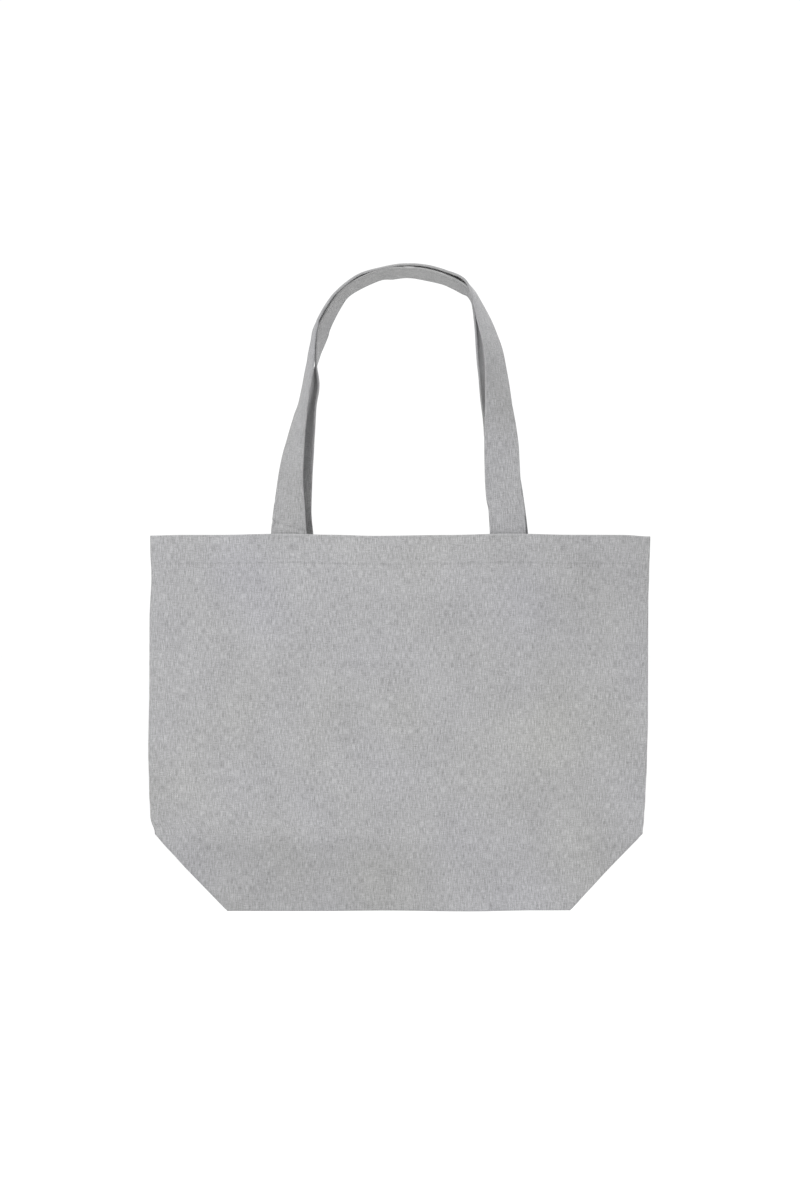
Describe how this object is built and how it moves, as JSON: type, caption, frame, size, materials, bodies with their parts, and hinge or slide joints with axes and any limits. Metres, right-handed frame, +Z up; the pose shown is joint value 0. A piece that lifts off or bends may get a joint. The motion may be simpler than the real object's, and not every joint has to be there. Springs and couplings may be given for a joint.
{
  "type": "tote bag",
  "caption": "Empty soft canvas tote bag with a boxed base folded up inside, a turned and topstitched mouth hem and two sewn strap handles that swing over the mouth.",
  "frame": {"origin": "the place that carries the bag, under the arches of both handles, where a hand or a hook goes", "axes": "+Z up, +X to the right along the bag's width, and the front panel faces -Y"},
  "size_m": [0.5, 0.0568, 0.6499],
  "materials": {
    "canvas": "matte",
    "strap": "matte",
    "thread": "matte"
  },
  "bodies": {
    "bag": {"front_panel": "canvas", "back_panel": "canvas", "front_handle_left_end": "strap", "front_handle_right_end": "strap", "back_handle_left_end": "strap", "back_handle_right_end": "strap", "front_hem_stitching": "thread", "back_hem_stitching": "thread", "base_seam_thread": "thread", "left_side_seam_thread": "thread", "right_side_seam_thread": "thread", "left_corner_seam_thread": "thread", "right_corner_seam_thread": "thread", "front_handle_left_box_stitching": "thread", "front_handle_right_box_stitching": "thread", "back_handle_left_box_stitching": "thread", "back_handle_right_box_stitching": "thread"},
    "front_handle": {"front_handle": "strap", "front_handle_outer_edge_stitching": "thread", "front_handle_inner_edge_stitching": "thread"},
    "back_handle": {"back_handle": "strap", "back_handle_outer_edge_stitching": "thread", "back_handle_inner_edge_stitching": "thread"}
  },
  "joints": [
    {"name": "front_handle_swing", "type": "hinge", "parent": "bag", "child": "front_handle", "pos_m": [0, -0.0225, -0.254], "axis": [1, 0, 0], "range_deg": [0, 165]},
    {"name": "back_handle_swing", "type": "hinge", "parent": "bag", "child": "back_handle", "pos_m": [0, 0.0225, -0.254], "axis": [-1, 0, 0], "range_deg": [0, 165]}
  ]
}
